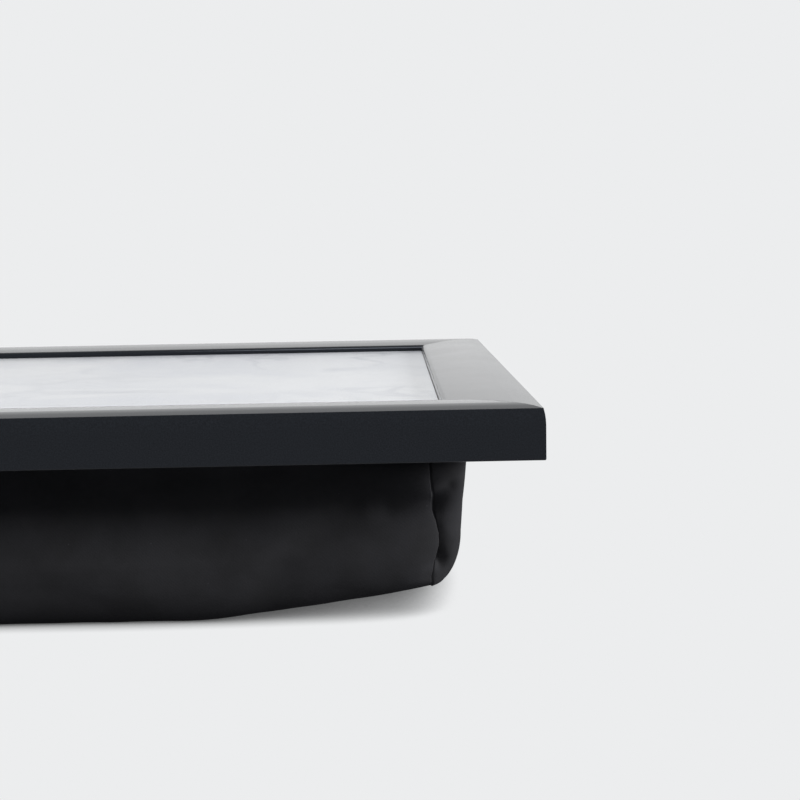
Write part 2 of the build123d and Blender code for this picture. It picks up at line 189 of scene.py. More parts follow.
# What each look is made of:
# pattern: a texture, its values, and how it is stretched or turned. A scale is a count in a metre, so
#     1000 / 0.5 is one in each 0.5 mm.
# coat: a pattern, the values of it between which the coat comes in, its full strength and its colour.
# range: a pattern, the values of it between which the shader's value changes, and that value at each.
# bump: a pattern, the values of it between which the surface rises, and the rise in mm. Later ones lie
#     on earlier ones.
looks = {
    # Black satin lacquer sprayed on a wood moulding: a fine dry grain that breaks up the gloss, with a faint
    # film of dust that pales it where it is seen along the surface
    "blackSprayedMoulding": {
        "shader": {
            "Specular IOR Level": 0.2, "IOR": 1.5, "Specular Tint": (0.8, 0.86, 1.0, 1.0),
            "Sheen Weight": 0.12, "Sheen Roughness": 0.4,
        },
        "patterns": {
            "grain": ("Noise", {"Scale": 1000 / 0.5, "Detail": 2.0, "Roughness": 0.6}),
            "cloud": ("Noise", {"Scale": 30.0, "Detail": 3.0}),
            "orangePeel": ("Noise", {"Scale": 1000 / 3.5, "Detail": 1.0}),
        },
        "colour": "#0e1013",
        "coats": [("grain", 0.35, 0.75, 0.8, "#212429")],
        "ranges": {"Roughness": ("cloud", 0.35, 0.65, 0.1, 0.13)},
        "bumps": [("orangePeel", 0, 1, 0.002), ("grain", 0, 1, 0.012)],
    },
    # Blued spring steel strip: grey with faint lengthwise draw lines and a little tarnish
    "springSteelStrip": {
        "shader": {"Metallic": 1.0},
        "patterns": {
            "tarnish": ("Noise", {"Scale": 260.0, "Detail": 4.0}),
            "drawLines": ("Noise", {"Scale": 900.0, "Detail": 2.0}, {"Scale": (1, 1, 12)}),
        },
        "colour": "#a9abae",
        "coats": [("tarnish", 0.4, 0.7, 1.0, "#77736d")],
        "ranges": {"Roughness": ("tarnish", 0.3, 0.7, 0.24, 0.5)},
        "bumps": [("drawLines", 0, 1, 0.01)],
    },
    # Marble printed on melamine paper: pale clouds and thin grey veins under a smooth satin resin
    "printedMarbleMelamine": {
        "shader": {"Specular IOR Level": 0.5, "IOR": 1.5},
        "veins": {
            "turn": 33.0,           # degrees across the board
            "stray": 0.2,           # m between the furthest strays of a vein to either side
            "strayNoise": {"Scale": 5.0, "Detail": 2.0, "Roughness": 0.4},
            "lines": [(1 / 0.16, 0.030, 1.0), (14.0, 0.022, 0.55)],     # scale, width and strength
            "patchNoise": {"Scale": 6.0, "Detail": 2.0},        # the veins show only in patches
            "patchRange": (0.45, 0.68, 0.8),
            "clouds": {"Scale": 7.0, "Detail": 5.0, "Roughness": 0.6},
            "grain": {"Scale": 1000 / 0.4, "Detail": 2.0},
        },
        "patterns": {},
        "colour": "#eceef1",
        "coats": [("clouds", 0.45, 0.7, 1.0, "#d9dce3"), ("veins", 0, 1, 1.0, "#a9adb8")],
        "ranges": {"Roughness": ("grain", 0.3, 0.7, 0.24, 0.32)},
        "bumps": [("grain", 0, 1, 0.004)],
    },
    # Wet-pressed wood fibre board: brown, matted with fine lighter and darker fibres
    "pressedHardboard": {
        "shader": {"Specular IOR Level": 0.3},
        "patterns": {
            "fibres": (
                "Noise", {"Scale": 900.0, "Detail": 4.0, "Roughness": 0.7},
                {"Scale": (1, 0.25, 1), "Rotation": (0, 0, 0.5)},
            ),
            "blots": ("Noise", {"Scale": 90.0, "Detail": 4.0}),
        },
        "colour": "#7a5940",
        "coats": [("fibres", 0.4, 0.7, 1.0, "#9b7654"), ("blots", 0.55, 0.75, 0.5, "#4c3524")],
        "ranges": {"Roughness": ("fibres", 0.3, 0.7, 0.62, 0.85)},
        "bumps": [("fibres", 0, 1, 0.08)],
    },
    # Moulded nylon hook tape: rows of tiny dark hooks on a black woven ground, drawn 1.4 mm apart to show
    "nylonHookTape": {
        "shader": {"Specular IOR Level": 0.4},
        "patterns": {"hooks": ("Voronoi", {"Scale": 1000 / 1.4, "Randomness": 0.25})},
        "colour": "#101113",
        "coats": [("hooks", 0.5, 0.1, 1.0, "#2c2d30")],
        "ranges": {"Roughness": ("hooks", 0.1, 0.5, 0.35, 0.75)},
        "bumps": [("hooks", 0.5, 0.1, 0.5)],
    },
    # Brushed loop tape: a black felt-like pile of fine nylon loops with a soft sheen
    "brushedLoopTape": {
        "shader": {"Specular IOR Level": 0.2, "Sheen Weight": 0.3},
        "patterns": {
            "pile": ("Noise", {"Scale": 1600.0, "Detail": 3.0, "Roughness": 0.7}),
            "tufts": ("Noise", {"Scale": 350.0, "Detail": 3.0}),
        },
        "colour": "#131416",
        "coats": [("pile", 0.45, 0.7, 1.0, "#2a2b2e")],
        "ranges": {"Roughness": ("tufts", 0.3, 0.7, 0.8, 0.95)},
        "bumps": [("tufts", 0, 1, 0.4), ("pile", 0, 1, 0.3)],
    },
    # Black woven polyester: matt, with a fine plain weave, a faint bloom at grazing angles and a little lint
    "wovenBlackPolyester": {
        "shader": {"Specular IOR Level": 0.01, "Sheen Weight": 0.01},
        "thread": 0.7,      # mm from thread to thread; the real 0.35 mm is too fine to show
        "patterns": {
            "dust": ("Noise", {"Scale": 55.0, "Detail": 4.0}),
            "slub": ("Noise", {"Scale": 1400.0, "Detail": 2.0, "Roughness": 0.7}),
            "lint": ("Voronoi", {"Scale": 130.0}),
            "creases": ("Noise", {"Scale": 60.0, "Detail": 3.0, "Roughness": 0.45}),
        },
        "colour": "#333335",
        "coats": [("dust", 0.35, 0.75, 1.0, "#3a3a3d"), ("lint", 0.04, 0.02, 0.4, "#56555a")],
        "ranges": {"Roughness": ("slub", 0.3, 0.7, 0.8, 0.95)},
        "bumps": [("creases", 0, 1, 0.1), ("slub", 0, 1, 0.03), ("weave", 0, 1, 0.008)],
    },
    # White spunbonded liner cloth: thin, matt, with small embossed bond points
    "spunbondLiner": {
        "shader": {"Specular IOR Level": 0.25},
        "patterns": {
            "bonds": ("Voronoi", {"Scale": 500.0, "Randomness": 0.2}),
            "fibres": ("Noise", {"Scale": 1200.0, "Detail": 4.0, "Roughness": 0.7}),
        },
        "colour": "#dcdcd8",
        "coats": [("fibres", 0.4, 0.7, 1.0, "#c6c6c2")],
        "ranges": {"Roughness": ("fibres", 0.3, 0.7, 0.7, 0.9)},
        "bumps": [("bonds", 0.1, 0.4, 0.12)],
    },
    # Expanded polystyrene beads: white, round, about 4 mm, slightly glossy skins, with painted shade greying
    # the gaps between them
    "expandedPolystyreneBeads": {
        "shader": {"Specular IOR Level": 0.4},
        "patterns": {"beads": ("Voronoi", {"Scale": 1000 / 4, "Randomness": 0.8})},
        "colour": "#f0f0ee",
        # painted shade: the grey coat towards each bead's rim stands for the shade in the gaps between beads
        "coats": [("beads", 0.3, 0.7, 1.0, "#a3a3a0")],
        "ranges": {"Roughness": ("beads", 0.0, 0.6, 0.4, 0.7)},
        "bumps": [("beads", 0.6, 0.0, 1.0)],
    },
    # Woven polyester zip tape: black and slightly shiny on its ribs, with a painted highlight lightening the
    # rib tops
    "wovenZipTape": {
        "shader": {"Specular IOR Level": 0.3, "Sheen Weight": 0.05},
        "thread": 0.9,      # mm from rib to rib, drawn this wide so that they show
        "patterns": {},
        "colour": "#101012",
        # painted highlight: the raised tops of the ribs are coloured lighter than the grooves between them
        "coats": [("weave", 0, 1, 1.0, "#242427")],
        "ranges": {"Roughness": ("weave", 0, 1, 0.75, 0.6)},
        "bumps": [("weave", 0, 1, 0.06)],
    },
    # Extruded nylon monofilament, wound and set: smooth, black and a little shiny
    "nylonCoil": {
        "shader": {"Specular IOR Level": 0.5},
        "patterns": {"marks": ("Noise", {"Scale": 700.0, "Detail": 3.0})},
        "colour": "#131315",
        "coats": [("marks", 0, 1, 1.0, "#222225")],
        "ranges": {"Roughness": ("marks", 0.3, 0.7, 0.25, 0.42)},
        "bumps": [("marks", 0, 1, 0.02)],
    },
    # Die-cast zinc with black baked enamel: satin, with a few rubbed spots where the metal shows greyer
    "blackEnamelledZinc": {
        "shader": {"Specular IOR Level": 0.5},
        "patterns": {
            "rub": ("Noise", {"Scale": 420.0, "Detail": 5.0, "Roughness": 0.65}),
            "grit": ("Noise", {"Scale": 3000.0, "Detail": 2.0}),
        },
        "colour": "#17171a",
        "coats": [("rub", 0.6, 0.7, 1.0, "#4b4b4f")],
        "ranges": {"Metallic": ("rub", 0.6, 0.7, 0.0, 0.7), "Roughness": ("grit", 0.3, 0.7, 0.26, 0.4)},
        "bumps": [("grit", 0, 1, 0.01)],
    },
    # Twisted polyester sewing thread, black, with the sheen of its twist painted in as lighter streaks
    "polyesterThread": {
        "shader": {"Specular IOR Level": 0.4},
        "patterns": {"twist": ("Noise", {"Scale": 2200.0, "Detail": 2.0})},
        "colour": "#1c1c1f",
        # painted sheen: the twist noise lightens the colour along the thread
        "coats": [("twist", 0, 1, 1.0, "#3a3a3e")],
        "ranges": {"Roughness": ("twist", 0.3, 0.7, 0.45, 0.65)},
        "bumps": [("twist", 0, 1, 0.05)],
    },
}


def marblePatterns(material, veins):
    # A vein runs where a noise passes its middle value, at a place that strays by a second noise.
    place = addNode(material, "Mapping", {
        "Vector": addNode(material, "TexCoord", output="Object"),
        "Rotation": (0, 0, math.radians(veins["turn"])),
    })
    wander = addNode(material, "TexNoise", {"Vector": place, **veins["strayNoise"]}, "Color")
    centred = addNode(material, "VectorMath", {0: wander, 1: (0.5, 0.5, 0.5)}, operation="SUBTRACT")
    shift = addNode(material, "VectorMath", {0: centred, "Scale": veins["stray"]}, operation="SCALE")
    bent = addNode(material, "VectorMath", {0: place, 1: shift}, operation="ADD")
    layers = []
    for scale, width, strength in veins["lines"]:
        field = addNode(material, "TexNoise", {"Vector": bent, "Scale": scale, "Detail": 3.0})
        away = addNode(material, "Math", {0: field, 1: 0.5}, operation="SUBTRACT")
        near = addNode(material, "Math", {0: away}, operation="ABSOLUTE")
        layers.append(addNode(material, "MapRange", {
            "Value": near, "From Max": width, "To Min": strength, "To Max": 0.0,
        }))
    both = addNode(material, "Math", {0: layers[0], 1: layers[1]}, operation="MAXIMUM")
    low, high, strength = veins["patchRange"]
    patches = addNode(material, "TexNoise", {"Vector": place, **veins["patchNoise"]})
    where = addNode(material, "MapRange", {
        "Value": patches, "From Min": low, "From Max": high, "To Max": strength,
    })
    return {
        "veins": addNode(material, "Math", {0: both, 1: where}, operation="MULTIPLY"),
        "clouds": addNode(material, "TexNoise", {"Vector": bent, **veins["clouds"]}),
        "grain": addNode(material, "TexNoise", {"Vector": place, **veins["grain"]}),
    }


def threadPattern(material, spacing):
    # Plain weave on the UV map, which is in metres: warp and weft ribs that pass over each other in turn.
    cloth = addNode(material, "TexCoord", output="UV")
    sines = []
    for axis in ("X", "Y"):
        length = addNode(material, "SeparateXYZ", {"Vector": cloth}, axis)
        phase = addNode(material, "Math", {0: length, 1: math.pi / spacing}, operation="MULTIPLY")
        sines.append(addNode(material, "Math", {0: phase}, operation="SINE"))
    crossed = addNode(material, "Math", {0: sines[0], 1: sines[1]}, operation="MULTIPLY")
    return addNode(material, "MapRange", {"Value": crossed, "From Min": -1.0})


def makeFinish(name):
    # One of the looks as a material: its patterns, then its coats of colour, its ranges and its bumps.
    look = looks[name]
    material, shader = startMaterial(name, look["shader"])
    patterns = {}
    if "veins" in look:
        patterns.update(marblePatterns(material, look["veins"]))
    if "thread" in look:
        patterns["weave"] = threadPattern(material, look["thread"] * mm)
    for label, (texture, values, *ways) in look["patterns"].items():
        place = addNode(material, "TexCoord", output="Object")
        for way in ways:
            place = addNode(material, "Mapping", {"Vector": place, **way})
        patterns[label] = addNode(material, "Tex" + texture, {"Vector": place, **values})
    colour = toLinear(look["colour"])
    for label, low, high, strength, over in look["coats"]:
        share = addNode(material, "MapRange", {
            "Value": patterns[label], "From Min": low, "From Max": high, "To Max": strength,
        })
        colour = addNode(
            material, "Mix", {"Factor": share, "A": colour, "B": toLinear(over)}, data_type="RGBA"
        )
    fill(shader, {"Base Color": colour})
    for socket, (label, low, high, first, last) in look["ranges"].items():
        value = addNode(material, "MapRange", {
            "Value": patterns[label], "From Min": low, "From Max": high, "To Min": first, "To Max": last,
        })
        fill(shader, {socket: value})
    under = {}
    for label, low, high, depth in look["bumps"]:
        height = addNode(material, "MapRange", {"Value": patterns[label], "From Min": low, "From Max": high})
        under = {"Normal": addNode(material, "Bump", {"Height": height, "Distance": depth * mm, **under})}
    fill(shader, under)
    return material


finishes = {
    "painted_frame": makeFinish("blackSprayedMoulding"),
    "spring_steel": makeFinish("springSteelStrip"),
    "marble_laminate": makeFinish("printedMarbleMelamine"),
    "raw_board": makeFinish("pressedHardboard"),
    "hook_tape": makeFinish("nylonHookTape"),
    "loop_tape": makeFinish("brushedLoopTape"),
    "cover_cloth": makeFinish("wovenBlackPolyester"),
    "bag_cloth": makeFinish("spunbondLiner"),
    "beads": makeFinish("expandedPolystyreneBeads"),
    "zip_tape": makeFinish("wovenZipTape"),
    "zip_coil": makeFinish("nylonCoil"),
    "zip_metal": makeFinish("blackEnamelledZinc"),
}
for part in frame["record"]["subparts"]:
    mesh = nodes[part["node"]].data
    mesh.materials.clear()
    mesh.materials.append(finishes[part["material_slot"]])
print("materials made:", len(finishes))


# Cushion cover: four walls between the corner seams, a base and a top, sewn into one closed form

railLow = boxOf("frame_rail_front")[0]
trayEnd = boxOf("frame_rail_right")[1][0]
trayFront = -railLow[1]
railUnderside = railLow[2]
panelTop = boxOf("cushion_top_panel")[1][2]
coverEnd, coverBack = boxOf("cushion_cover")[1][:2]
sideInset = trayEnd - coverEnd

cover = {
    "columnsLong": 56,      # coarse columns on the front and back
    "columnsShort": 42,
    "rows": 22,
    "finer": 3,             # fine rows and columns to each coarse one
    "crowding": 0.9,        # how much closer the columns stand near the seams
    # From the base seam up: base seam, belly, shoulder, under the rail, top edge
    "levelShares": (0, 8 / 22, 16 / 22, 19 / 22, 1),
    "frontInsets": (36.5, sideInset + 1.2, sideInset + 6.0, 30.5, 30.5),
    "frontHeights": (0.3, 24.0, 61.0, railUnderside - 0.4, panelTop),
    "sideInsets": (40.0, sideInset + 3.3, sideInset - 0.4, 30.5, 30.5),
    "sideHeights": (0.3, 22.0, 63.0, railUnderside - 0.4, panelTop),
    "backInsets": (42.0, sideInset, sideInset, 30.5, 30.5),     # upright, because it holds the zip
    "backHeights": (0.3, 24.0, 63.0, railUnderside - 0.4, panelTop),
    "seamInsetsShort": (40.0, 37.1, 40.0, 38.5, 38.5),
    "seamInsetsLong": (35.0, 32.5, 31.6, 38.5, 38.5),
    "seamHeights": (12.4, 33.0, 63.2, railUnderside - 0.4, panelTop),
    # How a long and a short wall curve in to a seam: share, run in mm and power of the tight curve, and run
    # in mm of the slow one
    "bends": ((0.4, 12.0, 2.0, 66.0), (0.86, 12.0, 2.5, 110.0)),
    "samples": 1201,        # points along a wall before its columns are spread
    "rollPower": 1.0,       # under 1 makes the belly fuller than a quarter ellipse
    "liftRun": 95.0,        # mm from a seam over which the base seam lifts off the floor
    "liftPower": 1.4,
}


def lengthAlong(wall):
    # Length passed along each row of a grid, from its first column.
    steps = np.linalg.norm(np.diff(wall, axis=1), axis=2)
    return np.concatenate([np.zeros((len(wall), 1)), np.cumsum(steps, 1)], 1)


def spreadColumns(wall, columns):
    # Samples each row again at shares of its length that crowd together at both ends: w plus a sine of w.
    even = np.linspace(-1, 1, columns + 1)
    shares = (1 + even + cover["crowding"] * np.sin(math.pi * even) / math.pi) / 2
    rows = [
        [np.interp(shares * passed[-1], passed, row[:, k]) for k in range(3)]
        for row, passed in zip(wall, lengthAlong(wall))
    ]
    return np.moveaxis(np.array(rows), 1, 2)


def along(table, v, horizontal):
    # A value between the levels of a table: a quarter ellipse on the roll and the shoulder, else straight.
    levels = np.array(cover["levelShares"])
    values = np.array(table, float)
    step = np.clip(np.searchsorted(levels, v, side="right") - 1, 0, len(levels) - 2)
    t = np.clip((v - levels[step]) / (levels[step + 1] - levels[step]), 0, 1)
    rolling = np.sin(t * math.pi / 2)
    closing = 1 - np.cos(t * math.pi / 2)
    onRoll, onShoulder = step == 0, step == 2
    if horizontal:
        t = np.where(onRoll, rolling ** cover["rollPower"], np.where(onShoulder, closing, t))
    else:
        t = np.where(onRoll, closing, np.where(onShoulder, rolling, t))
    return values[step] + (values[step + 1] - values[step]) * t


def wallForm(turn, columns, rows, deeper):
    # One wall as (along, out, up): its own profile in the middle turns into the seam's profile at the ends.
    # It curves in by a quarter of a superellipse in the last millimetres and by a parabola further out.
    even = np.linspace(-1, 1, cover["samples"])[None, :]
    s = np.sign(even) * (1 - (1 - np.abs(even)) ** 3)
    v = np.linspace(0, 1, rows + 1)[:, None]
    seamLong = along(cover["seamInsetsLong"], v, True) + deeper
    seamShort = along(cover["seamInsetsShort"], v, True) + deeper
    isLong = turn % 2 == 0
    halfRun = (trayEnd - seamShort) if isLong else (trayFront - seamLong)
    outer = trayFront if isLong else trayEnd
    ownSeam = seamLong if isLong else seamShort
    own = ("front", "side", "back", "side")[turn]
    side = along(cover[own + "Insets"], v, True) + deeper
    reach = s * halfRun
    fromSeam = (1 - np.abs(s)) * halfRun
    tight, tightRun, power, slowRun = cover["bends"][turn % 2]
    bend = (1 - tight) * np.clip(1 - fromSeam / slowRun, 0, 1) ** 2
    bend += tight * (1 - (1 - np.clip(1 - fromSeam / tightRun, 0, 1) ** power) ** (1 / power))
    lift = np.clip(1 - fromSeam / cover["liftRun"], 0, 1) ** cover["liftPower"]
    out = outer - side - (ownSeam - side) * bend
    low = along(cover[own + "Heights"], v, False)
    up = low + (along(cover["seamHeights"], v, False) - low) * lift
    up = deeper + up * (1 - 2 * deeper / panelTop)
    return spreadColumns(np.stack(np.broadcast_arrays(reach, out, up), -1), columns)


def placeWall(wall, turn):
    # Turns a wall's (along, out, up) to its side of the tray: 0 front, 1 right, 2 back, 3 left.
    a, o, z = np.moveaxis(wall, -1, 0)
    x, y = [(a, -o), (o, a), (-a, o), (-o, -a)][turn]
    return np.stack([x, y, z], -1)


def panelBetween(walls, row, flat, deeper):
    # Base or top as a patch between one row of all four walls: opposite edges are blended, less the corners'
    # share.
    front, right, back, left = [w[row] for w in walls]
    back, left = back[::-1], left[::-1]
    u = (front[:, 0] - front[0, 0]) / (front[-1, 0] - front[0, 0])
    v = (right[:, 1] - right[0, 1]) / (right[-1, 1] - right[0, 1])
    u, v = u[None, :, None], v[:, None, None]
    across = (1 - v) * front[None] + v * back[None]
    deep = (1 - u) * left[:, None] + u * right[:, None]
    corners = (1 - v) * ((1 - u) * front[0] + u * front[-1]) + v * ((1 - u) * back[0] + u * back[-1])
    patch = across + deep - corners
    if flat:
        patch[..., 2] = front[0, 2]
        return patch
    reachX = front[-1, 0] * np.minimum(u, 1 - u)[..., 0] * 2
    reachY = right[-1, 1] * np.minimum(v, 1 - v)[..., 0] * 2
    lift = np.clip(1 - (reachX + reachY) / cover["liftRun"], 0, 1) ** cover["liftPower"]
    up = cover["sideHeights"][0] + (cover["seamHeights"][0] - cover["sideHeights"][0]) * lift
    patch[..., 2] = deeper + up * (1 - 2 * deeper / panelTop)
    return patch


def coverForm(finer, deeper=0.0):
    # All six panels of the cover as grids: front, right, back and left wall, base, top. Deeper makes a form
    # that many millimetres inside it.
    long, short, rows = [cover[k] * finer for k in ("columnsLong", "columnsShort", "rows")]
    columns = (long, short, long, short)
    walls = [placeWall(wallForm(turn, columns[turn], rows, deeper), turn) for turn in range(4)]
    return walls + [panelBetween(walls, 0, False, deeper), panelBetween(walls, -1, True, deeper)]


wallFlips = [False, False, False, False, True, False]
foldShape = {
    "openEnd": 8.0,         # mm: a fold that starts nearer to the seam runs into it at full depth
    "opening": 0.25,        # share of its line over which a fold deepens, and fades
    "closing": 0.35,
    "least": 0.15,          # share of the depth that is left at its ends
    "hold": (2.0, 5.0),     # mm under the rail at which folds fade out, and over how many they do
}
folds = {
    # Each fold is a line of points (mm from the corner seam, mm above the floor), then width and depth in mm
    "frontRight": [
        (((26, 46), (42, 35), (58, 26), (64, 14), (65, 4)), 7.0, -1.2),
        (((2, 45.5), (10, 45), (18, 43.5), (26, 41)), 4.6, -1.3),
        (((24, 55), (44, 43), (72, 29), (80, 12), (81, 4)), 8.0, 0.9),
        (((6, 30), (26, 22), (50, 18)), 11.0, 0.6),
    ],
    "rightFront": [
        (((0, 46), (4, 48), (8, 51), (13, 52)), 3.6, -2.0),
        (((0, 24.5), (3, 21.5), (6, 19)), 2.8, -2.9),
        (((5, 32), (9, 31)), 4.0, 0.7),
        (((0, 14.5), (9, 15)), 4.5, 0.4),
    ],
    "backRight": [
        (((6, 56), (24, 44), (40, 38), (58, 36)), 6.0, -2.0),
        (((4, 30), (20, 26), (38, 12), (42, 4)), 5.0, -1.8),
    ],
    "rightBack": [
        (((5, 58), (20, 47), (44, 40), (60, 26), (66, 6)), 6.0, -2.2),
        (((6, 38), (24, 30), (36, 14)), 6.0, 1.4),
    ],
    "backLeft": [
        (((4, 60), (22, 50), (46, 34), (60, 16), (62, 4)), 6.0, -2.3),
        (((5, 28), (14, 22), (26, 20)), 5.0, -1.4),
    ],
    "leftBack": [
        (((5, 54), (26, 46), (58, 44), (84, 48)), 5.5, -1.9),
        (((6, 26), (22, 20), (30, 6)), 5.0, -1.6),
    ],
    "leftFront": [
        (((6, 58), (22, 44), (34, 24), (38, 6)), 6.0, -2.0),
        (((20, 40), (50, 22), (72, 8)), 8.0, 1.4),
    ],
    "frontLeft": [
        (((6, 58), (30, 44), (60, 30), (76, 12), (78, 4)), 6.5, -2.4),
        (((5, 32), (18, 26), (30, 12), (33, 4)), 5.0, -1.6),
    ],
}


def nearestOn(path, x, y):
    # Distance to a line of points, and the share of the line passed at the nearest place.
    points = np.array(path, float)
    best = np.full(x.shape, 1e9)
    share = np.zeros(x.shape)
    lengths = np.linalg.norm(np.diff(points, axis=0), axis=1)
    passed = np.concatenate([[0], np.cumsum(lengths)])
    for start, end, length, before in zip(points[:-1], points[1:], lengths, passed):
        stepX, stepY = end - start
        t = np.clip(((x - start[0]) * stepX + (y - start[1]) * stepY) / length ** 2, 0, 1)
        gap = np.hypot(x - start[0] - t * stepX, y - start[1] - t * stepY)
        closer = gap < best
        best = np.where(closer, gap, best)
        share = np.where(closer, (before + t * length) / passed[-1], share)
    return best, share


def roundedPath(path, turns=3):
    # Corner cutting: each stretch keeps its middle half, so the line of points becomes a smooth curve.
    points = np.array(path, float)
    for _ in range(turns):
        first = points[:-1] * 0.75 + points[1:] * 0.25
        second = points[:-1] * 0.25 + points[1:] * 0.75
        middle = np.stack([first, second], 1).reshape(-1, 2)
        points = np.concatenate([points[:1], middle, points[-1:]])
    return points


def foldDepth(corner, fromSeam, height):
    # Sum of a corner's folds: each is a bell curve across its line that fades out at both ends.
    total = np.zeros(fromSeam.shape)
    least = foldShape["least"]
    for path, width, depth in folds[corner]:
        gap, share = nearestOn(roundedPath(path), fromSeam, height)
        opening = 1 if path[0][0] < foldShape["openEnd"] else np.clip(share / foldShape["opening"], 0, 1)
        fade = opening * np.clip((1 - share) / foldShape["closing"], 0, 1)
        total += depth * np.exp(-((gap / width) ** 2)) * (least + (1 - least) * fade)
    return total


seamDrift = {
    # How far the front right seam strays from its plain line: mm up, then mm to the right
    "sideways": ((12, 0.0), (16, -1.4), (22, -1.3), (26, -0.5), (30, 0.1), (33, 0.0), (38, -0.5), (42, -0.9),
                 (47, -0.3), (51, -0.5), (55, -0.6), (59, -0.3), (64, 0.0)),
    "sidewaysReach": 6.0,
    # The upper corner is stuffed fuller: mm up, then mm to the front
    "forward": ((12, 0.0), (39, 0.0), (41, 0.3), (44, 1.6), (47, 3.7), (50, 5.6), (53, 6.8), (56, 7.2),
                (59, 6.6), (62, 4.0), (65, 0.0)),
    "forwardReach": 44.0,
    "powers": (2, 3),       # how full that stays on the front and on the right; more is fuller
}
seams = {
    "grooveDepth": 0.5,
    "grooveWidth": 0.3,
    "puckerDepth": 0.15,
    "puckerReach": 6.0,
    "puckerSpacing": 5.0,
    "puckerWaves": 3,
    "seed": 21,
}
swell = {
    "depth": 0.5,           # mm deep and long, of the broad waves and then of the fine ones
    "length": 75.0,
    "fineDepth": 0.1,
    "fineLength": 26.0,
    "seed": 11,
    "fromSeam": 25.0,       # mm over which the waves come in from a seam and from the floor
    "fromFloor": 14.0,
}

tapeHigh = boxOf("zip_tape_lower")[1]
zipHeight = tapeHigh[2]
zipPlace = {
    "flatHalf": (124.0, 13.0),      # mm each way from the zip's middle that stay flat
    "sunkHalf": (115.0, 7.2),       # mm each way that lie behind the tape
    "sink": 1.05,
    # mm over which the flat part, the sunk part and the cloth's settling fade in
    "flatSoftness": 6.0,
    "sunkSoftness": 0.5,
    "settleSoftness": 12.0,
}


def window(a, height, half, softness):
    # One inside a rectangle about the zip, zero outside, with soft edges.
    inside = np.minimum(half[0] - np.abs(a), half[1] - np.abs(height - zipHeight))
    return np.clip(inside / softness + 0.5, 0, 1)


def wallRelief(turn, grid):
    # What the sewing and the beads add to a wall, out along its normals, in millimetres.
    a = grid[..., (0, 1)[turn % 2]] * (1, 1, -1, -1)[turn]
    height = grid[..., 2]
    fromLeft = lengthAlong(grid)
    fromRight = fromLeft[:, -1:] - fromLeft
    fromSeam = np.minimum(fromLeft, fromRight)
    corners = [("frontLeft", "frontRight"), ("rightFront", "rightBack"),
               ("backRight", "backLeft"), ("leftBack", "leftFront")][turn]
    gap, run = foldShape["hold"]
    hold = np.clip((railUnderside - gap - height) / run, 0, 1)
    relief = (foldDepth(corners[0], fromLeft, height) + foldDepth(corners[1], fromRight, height)) * hold
    loose = np.clip(fromSeam / swell["fromSeam"], 0, 1) * hold * np.clip(height / swell["fromFloor"], 0, 1)
    relief += loose * swell["depth"] * waves(grid, swell["length"], swell["seed"])
    relief += loose * swell["fineDepth"] * waves(grid, swell["fineLength"], swell["seed"] + 1)
    groove = np.exp(-((fromSeam / seams["grooveWidth"]) ** 2))
    upward = height[..., None] * (1, 0, 0)
    pucker = waves(upward, seams["puckerSpacing"], turn + seams["seed"], seams["puckerWaves"])
    relief += seams["puckerDepth"] * pucker * np.exp(-fromSeam / seams["puckerReach"]) * (1 - groove) * hold
    relief -= seams["grooveDepth"] * groove
    if turn == 2:
        flat = window(a, height, zipPlace["flatHalf"], zipPlace["flatSoftness"])
        sunk = window(a, height, zipPlace["sunkHalf"], zipPlace["sunkSoftness"])
        relief = relief * (1 - flat) - zipPlace["sink"] * sunk
    return relief


def panelUvs(grids):
    # Cloth coordinates in metres: length along the rows and up the columns of each panel.
    uvs = []
    for grid in grids:
        u = lengthAlong(grid)
        u -= u[:, u.shape[1] // 2][:, None]
        v = lengthAlong(grid.swapaxes(0, 1)).T
        uvs.append(np.stack([u, v], -1) * mm)
    return uvs


def driftSeam(grid, fromSeam, power):
    # Moves a corner seam and the cloth beside it: sideways close by, and forward further round.
    sideways = np.interp(grid[..., 2], *np.array(seamDrift["sideways"]).T)
    forward = np.interp(grid[..., 2], *np.array(seamDrift["forward"]).T)
    grid[..., 0] += sideways * np.exp(-((fromSeam / seamDrift["sidewaysReach"]) ** 2))
    share = np.clip(fromSeam / seamDrift["forwardReach"], 0, 1)
    grid[..., 1] -= forward * (1 - share ** power) ** 2


settling = {
    # Cloth simulation in which the sewn panels settle over the pressed beads
    "frames": 20,
    "pressure": 4.0,
    "slack": 0.03,          # how much larger the cloth is cut than the form it starts from
    "stiffness": 12.0,
    "bending": 0.4,
    "inward": 0.8,          # mm that a point may move in, out and along the cover
    "outward": 2.4,
    "sideways": 1.0,
    "neck": 4.0,            # mm under the rail that stay pinned
    # Share of the moves that each side of the corner in the photo takes: mm from the front right seam, share
    "frontShare": ((0, 0.1), (60, 0.15), (190, 0.35), (240, 1.0)),
    "rightShare": ((0, 0.1), (60, 0.12), (130, 1.0)),
}


def placesOf(grids, places):
    # The shared place numbers as one array for each grid, in its shape.
    ends = np.cumsum([grid[..., 0].size for grid in grids])
    return [own.reshape(grid.shape[:2]) for own, grid in zip(np.split(places, ends[:-1]), grids)]


def clothPiece(coarse, places):
    # The coarse cover as a mesh with its seams, neck and base pinned.
    points, quads, _ = joinGrids(coarse, wallFlips, places)
    piece = makePiece("settling_cloth", points, quads)
    held = np.zeros(len(points), bool)
    for number, (grid, own) in enumerate(zip(coarse, placesOf(coarse, places))):
        if number > 3:
            held[own] = True
        held[own[:, [0, -1]]] = True
        held[own[grid[..., 2] > railUnderside - settling["neck"]]] = True
    pins = piece.vertex_groups.new(name="pins")
    pins.add(np.flatnonzero(held).tolist(), 1.0, "REPLACE")
    return piece


